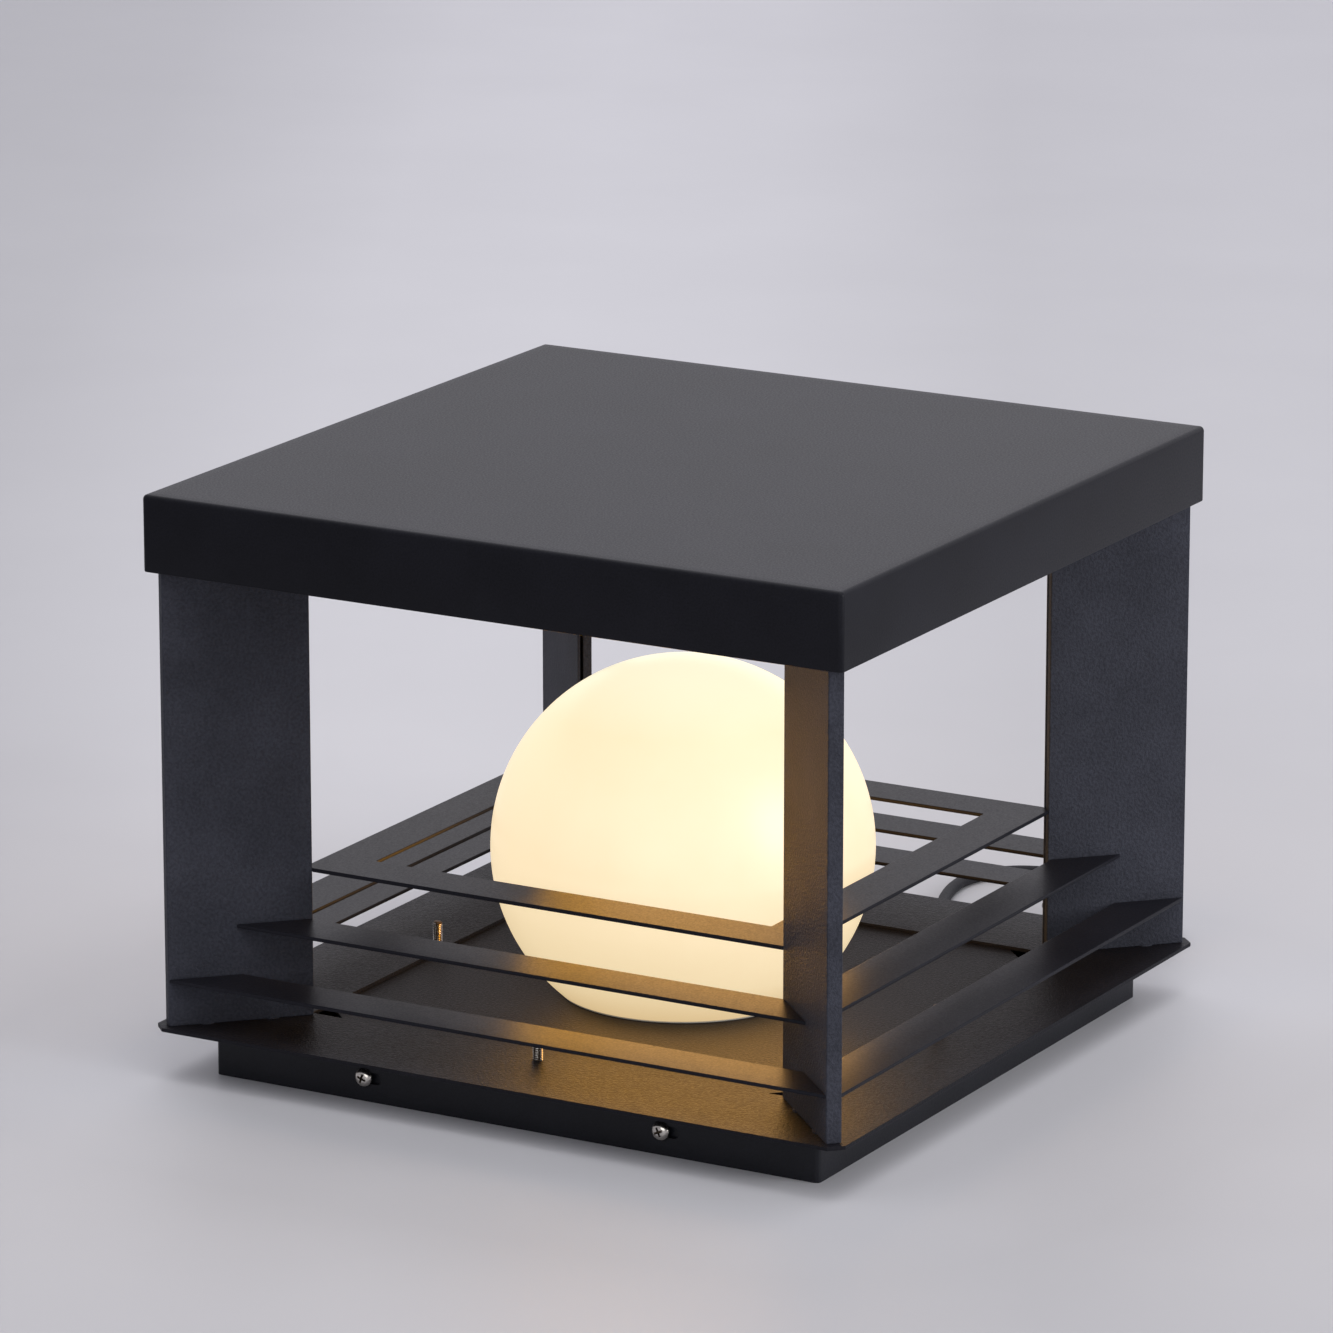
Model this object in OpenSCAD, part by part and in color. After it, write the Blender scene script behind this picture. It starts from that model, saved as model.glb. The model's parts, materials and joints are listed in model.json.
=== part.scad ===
// Square pillar lantern: folded sheet-metal cage, louvres, opal globe and supply lead.
// Millimetres, +Z up, origin on the floor at the middle of the base, -Y is the front.

/* [Roof] */
// Side length of the square roof
roof_w = 300; // [280:5:340]
// Height of the roof's folded skirt
roof_skirt_h = 30; // [20:1:50]
// Overall height of the lantern
total_h = 231.5; // [215:0.5:300]
// Thickness of the roof sheet
roof_t = 1.5; // [1:0.1:2]

/* [Base] */
// Side length of the base flange
flange_w = 300; // [290:5:340]
// Length cut off each flange corner
flange_chamfer = 5; // [2:0.5:10]
// Side length of the square opening in the flange
opening_w = 210; // [200:1:216]
// Side length of the box under the flange
skirt_w = 264; // [256:1:276]
// Height of the box under the flange
skirt_h = 20; // [18:1:30]
// Vertical corner radius of the box under the flange
skirt_r = 2; // [2:0.5:8]
// Thickness of the base sheets
base_t = 1.5; // [1:0.1:2]

/* [Posts] */
// Distance from the centre to a post's inner edge
post_in = 148.5; // [148.5:0.5:156]
// Distance from the centre to a post's outer edge
post_out = 205.5; // [200:0.5:206]
// Thickness of a post across its flat
post_t = 6; // [4:0.5:8]
// Sheet that a post is folded from
post_wall = 1.2; // [0.8:0.1:1.5]

/* [Louvres] */
// Outer side length of the lowest louvre square
low_w = 294.4; // [280:0.1:298]
// Outer side length of the middle louvre square
mid_w = 256.8; // [246:0.1:264]
// Outer side length of the top louvre square
top_w = 214; // [212:0.5:222]
// Width of a louvre blade
blade_w = 20.3; // [14:0.1:22]
// Height of the lowest louvre's underside above the floor
low_z = 39; // [32:0.5:48]
// Height between one louvre and the next
louvre_pitch = 20; // [16:0.5:26]
// Thickness of a louvre blade
blade_t = 1.5; // [1:0.1:2]

/* [Globe] */
// Outer diameter of the glass globe
globe_d = 150; // [146:1:156]
// Wall of the glass globe
globe_wall = 3; // [2:0.5:4]
// Height of the globe's rim above the carrier plate
globe_rim_gap = 0.8; // [0.6:0.1:1.5]
// Height of the globe's centre above the floor
globe_z = 77.5; // [76:0.5:80]

/* [Supply] */
// Diameter of the supply cable
cord_d = 5; // [4.5:0.1:5.5]
// Distance of the cable gland from the middle of the rear face
gland_x = 30; // [20:1:36]

/* [Hidden] */

$fn = 64;
slop = 0.01;                       // keeps cutters clear of coincident faces
skirt_inner = skirt_w / 2 - base_t;
flange_z = skirt_h;                // underside of the flange
flange_top = flange_z + base_t;
carrier_z = flange_z - base_t;     // underside of the carrier plate
carrier_w = 240;
carrier_cut = 195;                 // x + y along a carrier corner cut
carrier_hole_r = 7;                // passes the leads from the lamp holder
post_slit = 1.2;                   // opening along a post's inner edge
globe_r = globe_d / 2;
rim_z = flange_z + globe_rim_gap;  // underside of the globe's rim
post_top = total_h - roof_t;

// M4 fasteners
m4_r = 2;
m4_clear_r = 2.25;
m4_head_r = 3.9;
m4_head_h = 2.4;
m4_nut_af = 7;
m4_nut_h = 3.2;
recess_l = 4;
recess_w = 0.9;
stud_reach = 112;                  // centre to a carrier screw
stud_top = flange_top + 8;
washer_r = 4.5;
washer_t = 0.8;

// Side screws, through slots in the front and rear faces of the base
side_x = 65;
side_z = 9.5;
side_slot_l = 10;
side_slot_w = 4.6;
side_slot_shift = 2.7;
side_screw_l = 10;
tab_gap = 0.3;
tab_w = 30;
tab_t = 1.5;
tab_h = 17;
tab_y = skirt_inner - tab_gap - tab_t;   // inner face of a bracket tab
bracket_w = 160;
anchor_dx = 120;
anchor_dy = 180;
anchor_r = 3.25;
supply_hole_r = 12;

// Globe fixing
gasket_in = 44.7;
gasket_out = 48.8;
gallery_in = 30;                   // hole through the gallery's floor
gallery_r = 38.5;
gallery_lip_r = 42.2;
gallery_lip_z = 24.3;
lip_t = 1.2;
rivet_ring_r = 34;
rivet_r = 1.6;
rivet_head_r = 3.2;
collar_r = 42.5;
collar_out = 44.5;
collar_z = 20.4;
collar_h = 9;
bead_z = 24;                       // bead that keys the collar in the globe
bead_h = 1.5;
bead_w = 2.2;
lug_z = 22.4;
lug_t = 1.5;
lug_in = 39.1;
lug_angle = 24;
lug_gap_angle = 32;
lug_turn = 30;

// Lamp
holder_bracket_l = 53;
holder_bracket_w = 26;
holder_bracket_t = 1.5;
holder_bracket_r = 6.5;            // hole that the leads pass
holder_screw_x = 23;
holder_screw_r = 1.75;
holder_z = flange_z + holder_bracket_t;
holder_r = 21;
holder_foot_r = 15;
holder_waist_z = 34;
holder_top = 62;
lead_x = 5;                        // leads through the holder's foot
shell_r = 13.8;
shell_z = 41.5;
contact_gap = 2;                   // space for the contact under the shell
cap_wall = 1;
cap_r = 13.15;
cap_z = 43;
cap_top = 65;
contact_z = 41.5;
bulb_r = 22.5;
bulb_z = 98;
neck_top = 86;

// Wiring
block_x = 30;
block_y = 70;
block_size = [30, 18, 13];
way_pitch = 10;
way_r = 2;
way_depth = 6;
way_screw_sunk = 1.5;
earth_x = -40;
cable_z = 9;
gland_r = 5.9;
gland_af = 14;
gland_inside = 5;                  // thread behind the rear face
locknut_h = 3;
dome_r = 6.4;
dome_tip_r = 3.9;
gland_face = skirt_w / 2;
gland_flange_t = 3;
dome_l = 12;
gland_exit = gland_face + gland_flange_t + dome_l;
lead_r = 1.1;

// Supply cord route on the floor behind the lantern, from the gland to the coil
cord_r = cord_d / 2;
CORD_ROUTE = [[30, 147, 9], [30, 150, 9], [29.8, 154.5, 8.7], [28.8, 160.5, 7.8], [26.2, 168.5, 6],
              [22.5, 177, 4.2], [17.5, 187, 2.9], [12.4, 196, 2.5], [8.1, 206, 2.5],
              [4.8, 217, 2.5], [3.4, 225, 2.5], [3, 232, 2.5], [4.8, 242, 2.5],
              [9.8, 250.7, 2.5], [17.5, 257.2, 2.5], [27, 260.7, 2.5], [37.2, 260.7, 2.5],
              [46.7, 257.2, 2.5], [54.4, 250.7, 2.5], [59.4, 242, 2.5], [61.2, 232, 2.5],
              [61.6, 222, 2.5], [61.9, 208, 2.5]];
coil_x = 87.5;
coil_y = 200;
coil_r = 25.5;                     // middle of the turns
end_r = 20.4;                      // middle of the free end inside the turns
coil_turns = 4;
end_angle = 330;                   // where the sheath ends, seen from above
core_r = 0.9;

// ---------- shared shapes ----------

// Square of side w with its corners rounded to radius r
module round_square(w, r) {
    square([w - 2 * r, w], center = true);
    square([w, w - 2 * r], center = true);
    for (sx = [-1, 1], sy = [-1, 1])
        translate([sx * (w / 2 - r), sy * (w / 2 - r)]) circle(r);
}

// Tube with round ends cut square, swept along a list of points
function unit(v) = v / norm(v);
function along(p, i) =
    unit(p[min(i + 1, len(p) - 1)] - p[max(i - 1, 0)]);
function sideways(t) = abs(t[2]) > 0.95 ? [1, 0, 0] : unit(cross(t, [0, 0, 1]));
function ring(p, i, r, n) =
    let (t = along(p, i), s = sideways(t), u = cross(s, t))
    [for (k = [0 : n - 1]) p[i] + r * (cos(360 * k / n) * s + sin(360 * k / n) * u)];

module tube(p, r, n = 10) {
    rings = [for (i = [0 : len(p) - 1]) each ring(p, i, r, n)];
    sides = [for (i = [0 : len(p) - 2], k = [0 : n - 1])
             [i * n + k, i * n + (k + 1) % n, (i + 1) * n + (k + 1) % n, (i + 1) * n + k]];
    start_cap = [for (k = [n - 1 : -1 : 0]) k];
    end_cap = [for (k = [0 : n - 1]) (len(p) - 1) * n + k];
    polyhedron(rings, concat([start_cap, end_cap], sides), convexity = 6);
}

// Wedge of a circle, a degrees wide about the X axis
module wedge(r, a) {
    polygon([[0, 0], [r * cos(a / 2), -r * sin(a / 2)], [r, 0], [r * cos(a / 2), r * sin(a / 2)]]);
}

module flat_ring(r_out, r_in, h) {
    difference() {
        cylinder(r = r_out, h = h);
        translate([0, 0, -slop]) cylinder(r = r_in, h = h + 2 * slop);
    }
}

// Pan head screw along +Z, the underside of its head at z = 0
module pan_screw(l) {
    difference() {
        union() {
            translate([0, 0, -m4_head_h]) cylinder(r = m4_head_r, h = m4_head_h);
            cylinder(r = m4_r, h = l);
        }
        for (a = [0, 90])
            rotate([0, 0, a]) translate([0, 0, -m4_head_h])
                cube([recess_l, recess_w, m4_head_h], center = true);
    }
}

module hex(af, h) { cylinder(r = af / sqrt(3), h = h, $fn = 6); }

// ---------- cage ----------

module roof() {
    color("#2b2c31") difference() {
        translate([0, 0, total_h - roof_skirt_h])
            linear_extrude(roof_skirt_h) round_square(roof_w, 2);
        translate([0, 0, total_h - roof_skirt_h - slop])
            linear_extrude(roof_skirt_h - roof_t + slop) round_square(roof_w - 2 * roof_t, 0.5);
    }
}

// Folded post, open along a slit in its inner edge
module post_section() {
    difference() {
        translate([post_in, -post_t / 2]) square([post_out - post_in, post_t]);
        translate([post_in + post_wall, -post_t / 2 + post_wall])
            square([post_out - post_in - 2 * post_wall, post_t - 2 * post_wall]);
        translate([post_in - slop, post_t / 2 - post_wall - post_slit])
            square([post_wall + 2 * slop, post_slit]);
    }
}

module post(angle) {
    color("#2c2e35") rotate([0, 0, angle]) translate([0, 0, flange_top])
        linear_extrude(post_top - flange_top) post_section();
}

module post_front() { post(-45); }
module post_right() { post(45); }
module post_back() { post(135); }
module post_left() { post(225); }

// Clear space that the posts pass through
module post_slots(h) {
    for (a = [45 : 90 : 315])
        rotate([0, 0, a]) translate([post_in, -post_t / 2, 0]) cube([post_out, post_t, h]);
}

// One blade of a louvre square, mitred and cut back to the posts
module blade(w, level, angle) {
    z = low_z + level * louvre_pitch;
    color("#2a2b30") rotate([0, 0, angle]) translate([0, 0, z]) difference() {
        linear_extrude(blade_t)
            polygon([[-w / 2, -w / 2], [w / 2, -w / 2],
                     [w / 2 - blade_w, -w / 2 + blade_w], [-w / 2 + blade_w, -w / 2 + blade_w]]);
        translate([0, 0, -slop]) post_slots(blade_t + 2 * slop);
    }
}

module louvre_low_front() { blade(low_w, 0, 0); }
module louvre_low_right() { blade(low_w, 0, 90); }
module louvre_low_rear() { blade(low_w, 0, 180); }
module louvre_low_left() { blade(low_w, 0, 270); }
module louvre_mid_front() { blade(mid_w, 1, 0); }
module louvre_mid_right() { blade(mid_w, 1, 90); }
module louvre_mid_rear() { blade(mid_w, 1, 180); }
module louvre_mid_left() { blade(mid_w, 1, 270); }

// Top louvre, one piece whose corners enter the posts' inner edges
module louvre_top() {
    z = low_z + 2 * louvre_pitch;
    color("#2a2b30") translate([0, 0, z]) difference() {
        linear_extrude(blade_t) difference() {
            square(top_w, center = true);
            square(top_w - 2 * blade_w, center = true);
        }
        translate([0, 0, -slop]) post_slots(blade_t + 2 * slop);
    }
}

// ---------- base ----------

module stud_places() {
    for (a = [0 : 90 : 270]) rotate([0, 0, a]) translate([stud_reach, 0, 0]) children();
}

module base_flange() {
    h = flange_w / 2;
    c = flange_chamfer;
    color("#2b2b2f") translate([0, 0, flange_z]) difference() {
        linear_extrude(base_t) difference() {
            polygon([[-h + c, -h], [h - c, -h], [h, -h + c], [h, h - c],
                     [h - c, h], [-h + c, h], [-h, h - c], [-h, -h + c]]);
            square(opening_w, center = true);
        }
        stud_places() translate([0, 0, -slop]) cylinder(r = m4_r, h = base_t + 2 * slop);
    }
}

// Slot for a side screw, through a wall in the XZ plane
module side_slot(depth) {
    half = (side_slot_l - side_slot_w) / 2;
    rotate([90, 0, 0]) {
        for (dx = [-half, half]) translate([dx, 0, -depth / 2]) cylinder(d = side_slot_w, h = depth);
        cube([2 * half, side_slot_w, depth], center = true);
    }
}

module base_skirt() {
    color("#26272c") difference() {
        linear_extrude(skirt_h) round_square(skirt_w, skirt_r);
        translate([0, 0, -slop])
            linear_extrude(skirt_h + 2 * slop) round_square(skirt_w - 2 * base_t, skirt_r - base_t);
        for (s = [-1, 1], x = [-side_x, side_x])
            translate([x - s * side_slot_shift, s * (skirt_w - base_t) / 2, side_z])
                side_slot(4 * base_t);
        translate([gland_x, skirt_inner - 1, cable_z])
            rotate([-90, 0, 0]) cylinder(r = gland_r, h = base_t + 2);
    }
}

module carrier_plate() {
    h = carrier_w / 2;
    k = carrier_cut - h;
    color("#303033") translate([0, 0, carrier_z]) difference() {
        linear_extrude(base_t)
            polygon([[h, k], [k, h], [-k, h], [-h, k], [-h, -k], [-k, -h], [k, -h], [h, -k]]);
        stud_places() translate([0, 0, -slop]) cylinder(r = m4_clear_r, h = base_t + 2 * slop);
        translate([0, 0, -slop]) cylinder(r = carrier_hole_r, h = base_t + 2 * slop);
    }
}

module carrier_washers() {
    color("silver") stud_places() translate([0, 0, carrier_z - washer_t])
        flat_ring(washer_r, m4_clear_r, washer_t);
}

module carrier_screws() {
    seat = carrier_z - washer_t;
    color("silver") stud_places() translate([0, 0, seat]) pan_screw(stud_top - seat);
}

// Bracket that stays on the pillar: plate with four upturned tabs
module pillar_bracket() {
    color("#8f9296") difference() {
        union() {
            translate([-bracket_w / 2, -tab_y - tab_t, 0]) cube([bracket_w, 2 * (tab_y + tab_t), tab_t]);
            for (s = [-1, 1], x = [-side_x, side_x])
                translate([x - tab_w / 2, s > 0 ? tab_y : -tab_y - tab_t, 0])
                    cube([tab_w, tab_t, tab_h]);
        }
        for (s = [-1, 1], x = [-side_x, side_x])
            translate([x, s * tab_y - 2 * tab_t, side_z])
                rotate([-90, 0, 0]) cylinder(r = m4_clear_r, h = 4 * tab_t);
        for (sx = [-1, 1], sy = [-1, 1])
            translate([sx * anchor_dx / 2, sy * anchor_dy / 2, -slop])
                cylinder(r = anchor_r, h = tab_t + 2 * slop);
        translate([0, 0, -slop]) cylinder(r = supply_hole_r, h = tab_t + 2 * slop);
    }
}

module side_places() {
    for (a = [0, 180], x = [-side_x, side_x])
        rotate([0, 0, a]) translate([x, -skirt_w / 2, side_z]) rotate([-90, 0, 0]) children();
}

module side_screws() {
    color("silver") side_places() pan_screw(side_screw_l);
}

// Square weld nuts behind the bracket tabs
module side_nuts() {
    depth = skirt_w / 2 - tab_y;
    color("silver") side_places() translate([0, 0, depth]) difference() {
        translate([-m4_nut_af / 2, -m4_nut_af / 2, 0]) cube([m4_nut_af, m4_nut_af, m4_nut_h]);
        translate([0, 0, -slop]) cylinder(r = m4_r, h = m4_nut_h + 2 * slop);
    }
}

// ---------- globe ----------

module globe() {
    color("#fff3cf") translate([0, 0, globe_z]) difference() {
        sphere(globe_r, $fn = 96);
        sphere(globe_r - globe_wall, $fn = 96);
        translate([-globe_r, -globe_r, -2 * globe_r + rim_z - globe_z])
            cube(2 * globe_r);
    }
}

module globe_gasket() {
    color("#202020") translate([0, 0, flange_z]) flat_ring(gasket_out, gasket_in, globe_rim_gap);
}

// Collar cemented in the globe's mouth, with three lugs under the gallery's lip
module globe_collar() {
    color("gainsboro") {
        difference() {
            union() {
                translate([0, 0, collar_z]) cylinder(r = collar_out, h = collar_h);
                translate([0, 0, bead_z]) cylinder(r = collar_out + bead_w, h = bead_h);
            }
            translate([0, 0, collar_z - slop]) cylinder(r = collar_r, h = collar_h + 2 * slop);
        }
        for (a = [0 : 120 : 240])
            rotate([0, 0, a]) translate([0, 0, lug_z]) linear_extrude(lug_t) intersection() {
                difference() {
                    circle(collar_r + 0.5);
                    circle(lug_in);
                }
                wedge(collar_out + bead_w, lug_angle);
            }
    }
}

module rivet_places() {
    for (a = [0 : 120 : 240])
        rotate([0, 0, a]) translate([rivet_ring_r, 0, flange_z]) children();
}

// Fixed ring that the collar's lugs turn under, open at three gaps
module gallery() {
    h = gallery_lip_z - flange_z;
    color("silver") difference() {
        translate([0, 0, flange_z]) union() {
            cylinder(r = gallery_r, h = h + lip_t);
            translate([0, 0, h]) cylinder(r = gallery_lip_r, h = lip_t);
        }
        translate([0, 0, flange_z + lip_t]) cylinder(r = gallery_r - lip_t, h = h + slop);
        translate([0, 0, flange_z - slop]) cylinder(r = gallery_in, h = h);
        for (a = [0 : 120 : 240])
            rotate([0, 0, a + lug_turn]) translate([0, 0, gallery_lip_z - slop])
                linear_extrude(lip_t + 2 * slop) difference() {
                    wedge(gallery_lip_r + bead_w, lug_gap_angle);
                    circle(gallery_r);
                }
        rivet_places() translate([0, 0, -slop]) cylinder(r = rivet_r, h = 2 * lip_t);
    }
}

module gallery_rivets() {
    color("silver") rivet_places() {
        cylinder(r = rivet_r, h = lip_t);
        translate([0, 0, lip_t]) cylinder(r1 = rivet_head_r, r2 = 2, h = 1);
    }
}

// ---------- lamp ----------

module holder_bracket() {
    h = holder_bracket_t + 2 * slop;
    color("silver") translate([0, 0, flange_z]) difference() {
        linear_extrude(holder_bracket_t) square([holder_bracket_l, holder_bracket_w], center = true);
        translate([0, 0, -slop]) cylinder(r = holder_bracket_r, h = h);
        for (x = [-holder_screw_x, holder_screw_x])
            translate([x, 0, -slop]) cylinder(r = holder_screw_r + 0.05, h = h);
    }
}

module holder_screws() {
    color("silver") for (x = [-holder_screw_x, holder_screw_x]) translate([x, 0, flange_z]) {
        cylinder(r = holder_screw_r, h = holder_bracket_t);
        translate([0, 0, holder_bracket_t]) cylinder(r = 3, h = 1.8);
    }
}

module lamp_holder() {
    color("#efece2") translate([0, 0, holder_z]) difference() {
        rotate_extrude()
            polygon([[0, 0], [holder_foot_r, 0], [holder_foot_r, holder_waist_z - holder_z - 4],
                     [holder_r, holder_waist_z - holder_z + 3], [holder_r, holder_top - holder_z],
                     [0, holder_top - holder_z]]);
        translate([0, 0, shell_z - holder_z - contact_gap])
            cylinder(r = shell_r, h = holder_top - shell_z + contact_gap + 1);
        for (x = [-lead_x, lead_x])
            translate([x, 0, -slop]) cylinder(r = lead_r + 0.3, h = 10);
    }
}

module holder_shell() {
    color("#c79a4b") translate([0, 0, shell_z]) flat_ring(shell_r, cap_r + 0.1, holder_top - shell_z - 1);
}

module holder_contact() {
    color("#c79a4b") translate([-4, -3, shell_z - contact_gap]) cube([8, 6, 1.7]);
}

module bulb_cap() {
    color("#c9ccd1") difference() {
        translate([0, 0, cap_z]) cylinder(r = cap_r, h = cap_top - cap_z);
        translate([0, 0, cap_z - slop]) cylinder(r = cap_r - cap_wall, h = cap_top - cap_z - 2);
    }
}

module bulb_contact() {
    color("#3a3a3a") {
        translate([0, 0, contact_z]) cylinder(r1 = 3.5, r2 = 4.8, h = cap_z - contact_z);
        translate([0, 0, cap_z]) cylinder(r = cap_r - cap_wall, h = 2);
    }
}

module bulb_neck() {
    color("#f2f2f0") rotate_extrude()
        polygon([[0, cap_top], [14, cap_top], [15.5, cap_top + 4], [18.9, neck_top], [0, neck_top]]);
}

module bulb_diffuser() {
    color("#fff6dd") difference() {
        translate([0, 0, bulb_z]) sphere(bulb_r);
        translate([-bulb_r, -bulb_r, neck_top - 2 * bulb_r]) cube(2 * bulb_r);
    }
}

// ---------- wiring ----------

module way_places() {
    for (x = [-way_pitch, 0, way_pitch])
        translate([block_x + x, block_y, carrier_z - block_size[2]]) children();
}

module terminal_block() {
    color("#e8e6df") difference() {
        translate([block_x - block_size[0] / 2, block_y - block_size[1] / 2,
                   carrier_z - block_size[2]]) cube(block_size);
        way_places() translate([0, 0, -slop]) cylinder(r = way_r, h = way_depth + slop);
    }
}

module terminal_screws() {
    color("silver") way_places() translate([0, 0, way_screw_sunk])
        cylinder(r = way_r - 0.1, h = way_depth - way_screw_sunk);
}

// The two leads from the lamp holder down to the terminal block
module holder_leads() {
    color("firebrick") for (s = [-1, 1])
        tube([[lead_x * s, 0, 26], [lead_x * s, 0, 20], [lead_x * s, 1, 15], [6 * s + 3, 12, 12],
              [5 * s + 14, 32, 11], [5 * s + 22, 46, 10], [5 * s + 24.7, 55, 10],
              [5 * s + 25, 60.9, 10]], lead_r, 8);
}

module earth_screw() {
    color("silver") translate([earth_x, block_y, carrier_z]) rotate([180, 0, 0]) {
        cylinder(r = washer_r, h = 1);
        translate([0, 0, 1]) cylinder(r = m4_head_r, h = m4_head_h);
    }
}

module earth_lead() {
    color("yellowgreen") tube([[-35.4, 70, 17.4], [-28, 73, 15], [-16, 79, 11.5], [-3, 78, 10],
                               [5, 72, 10], [10, 70.2, 10], [14.9, 70, 10]], lead_r, 8);
}

module inner_cable() {
    start = block_y + block_size[1] / 2;
    color("#232426") translate([gland_x, start, cable_z]) rotate([-90, 0, 0])
        cylinder(r = cord_r, h = gland_exit - start);
}

// Gland: threaded body and flange in the rear face, locknut inside, dome nut outside
module gland_along(y) { translate([gland_x, y, cable_z]) rotate([-90, 0, 0]) children(); }

module cable_gland() {
    color("#17181a") gland_along(skirt_inner - gland_inside) difference() {
        union() {
            cylinder(r = gland_r - 0.1, h = base_t + gland_inside + slop);
            translate([0, 0, base_t + gland_inside]) hex(gland_af, gland_flange_t);
        }
        translate([0, 0, -slop]) cylinder(r = cord_r, h = 4 * gland_inside);
    }
}

module gland_locknut() {
    color("#17181a") gland_along(skirt_inner - locknut_h) difference() {
        hex(gland_af, locknut_h);
        translate([0, 0, -slop]) cylinder(r = gland_r - 0.1, h = locknut_h + 2 * slop);
    }
}

module gland_dome() {
    color("#17181a") gland_along(gland_face + gland_flange_t) difference() {
        rotate_extrude()
            polygon([[0, 0], [dome_r, 0], [dome_r, dome_l / 2], [5.4, 9], [dome_tip_r, dome_l], [0, dome_l]]);
        translate([0, 0, -slop]) cylinder(r = cord_r, h = dome_l + 2 * slop);
    }
}

// ---------- free supply cord ----------

module supply_cord() {
    color("#232426") tube(CORD_ROUTE, cord_r, 10);
}

// Outer shape of the coiled length
module cord_coil() {
    color("#232426") translate([coil_x, coil_y, 0])
        flat_ring(coil_r + cord_r, end_r - cord_r, coil_turns * cord_d);
}

// Stripped cores at the far end, inside the coil
module cord_cores() {
    color("#8a5a32") translate([coil_x, coil_y, 0]) rotate([0, 0, end_angle]) for (s = [-1, 1])
        tube([[end_r + s, 0, 1.5], [end_r - 1 + 1.2 * s, 5, 1.2], [end_r - 4 + 2 * s, 10, 1.2],
              [end_r - 9 + 3 * s, 14, 1.2], [end_r - 15 + 4 * s, 16, 1.2]], core_r, 8);
}

roof();
post_front();
post_right();
post_back();
post_left();
louvre_low_front();
louvre_low_right();
louvre_low_rear();
louvre_low_left();
louvre_mid_front();
louvre_mid_right();
louvre_mid_rear();
louvre_mid_left();
louvre_top();
base_flange();
base_skirt();
carrier_plate();
carrier_screws();
carrier_washers();
pillar_bracket();
side_screws();
side_nuts();
globe();
globe_collar();
globe_gasket();
gallery();
gallery_rivets();
holder_bracket();
holder_screws();
lamp_holder();
holder_shell();
holder_contact();
bulb_cap();
bulb_contact();
bulb_neck();
bulb_diffuser();
terminal_block();
terminal_screws();
holder_leads();
earth_screw();
earth_lead();
inner_cable();
cable_gland();
gland_locknut();
gland_dome();
supply_cord();
cord_coil();
cord_cores();
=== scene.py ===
"""Looks of the square pillar lantern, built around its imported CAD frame. Metres, +Z up."""

import json
import math
import random

import bmesh
import bpy
from mathutils import Matrix, Vector

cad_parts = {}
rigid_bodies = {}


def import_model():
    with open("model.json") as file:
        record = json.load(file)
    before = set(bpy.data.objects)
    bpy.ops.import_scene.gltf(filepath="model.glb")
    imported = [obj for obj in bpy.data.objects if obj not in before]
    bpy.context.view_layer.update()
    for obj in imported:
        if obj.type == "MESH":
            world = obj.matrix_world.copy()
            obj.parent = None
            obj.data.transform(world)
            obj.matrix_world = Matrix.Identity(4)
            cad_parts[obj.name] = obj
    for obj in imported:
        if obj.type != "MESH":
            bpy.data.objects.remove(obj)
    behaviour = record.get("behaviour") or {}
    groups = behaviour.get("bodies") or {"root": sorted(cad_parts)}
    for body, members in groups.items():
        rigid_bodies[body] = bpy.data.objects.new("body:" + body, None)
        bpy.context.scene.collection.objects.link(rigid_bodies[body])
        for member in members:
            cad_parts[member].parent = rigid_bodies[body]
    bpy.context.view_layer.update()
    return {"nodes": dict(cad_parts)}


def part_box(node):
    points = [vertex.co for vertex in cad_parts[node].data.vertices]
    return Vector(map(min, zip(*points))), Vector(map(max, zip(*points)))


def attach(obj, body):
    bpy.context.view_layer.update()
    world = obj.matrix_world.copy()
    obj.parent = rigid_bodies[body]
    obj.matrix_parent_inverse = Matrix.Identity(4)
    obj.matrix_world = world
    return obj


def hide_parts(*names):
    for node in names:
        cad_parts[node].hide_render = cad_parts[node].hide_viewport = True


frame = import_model()
NODES = frame["nodes"]
MM = 0.001

# ---------------------------------------------------------------- camera

CAMERA_AT = (1.3982, -2.4816, 0.9156)
CAMERA_FORWARD = (-0.4759, 0.8402, -0.2598)
CAMERA_LENS = 206.0


def make_camera():
    """A long lens, well back from the front right corner."""
    data = bpy.data.cameras.new("camera")
    data.sensor_width = 36.0
    data.lens = CAMERA_LENS
    data.clip_start = 0.05
    data.clip_end = 60.0
    camera = bpy.data.objects.new("camera", data)
    camera.location = CAMERA_AT
    camera.rotation_euler = Vector(CAMERA_FORWARD).to_track_quat("-Z", "Y").to_euler()
    bpy.context.scene.collection.objects.link(camera)
    bpy.context.scene.camera = camera


make_camera()

# ---------------------------------------------------------------- material helpers


def new_material(name):
    """A node material, with its nodes, links and shader."""
    material = bpy.data.materials.new(name)
    material.use_nodes = True
    nodes = material.node_tree.nodes
    return material, nodes, material.node_tree.links, nodes["Principled BSDF"]


def add_noise(nodes, links, scale, detail=3.0, roughness=0.55):
    """A noise texture in object space; scale is in cells per metre."""
    place = nodes.new("ShaderNodeTexCoord")
    noise = nodes.new("ShaderNodeTexNoise")
    noise.inputs["Scale"].default_value = scale
    noise.inputs["Detail"].default_value = detail
    noise.inputs["Roughness"].default_value = roughness
    links.new(place.outputs["Object"], noise.inputs["Vector"])
    return noise.outputs["Fac"]


def add_range(nodes, links, source, low, high, dark=0.3, light=0.7):
    """Maps the source from dark..light to low..high."""
    spread = nodes.new("ShaderNodeMapRange")
    for name, value in (("From Min", dark), ("From Max", light), ("To Min", low), ("To Max", high)):
        spread.inputs[name].default_value = value
    links.new(source, spread.inputs["Value"])
    return spread.outputs["Result"]


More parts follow.
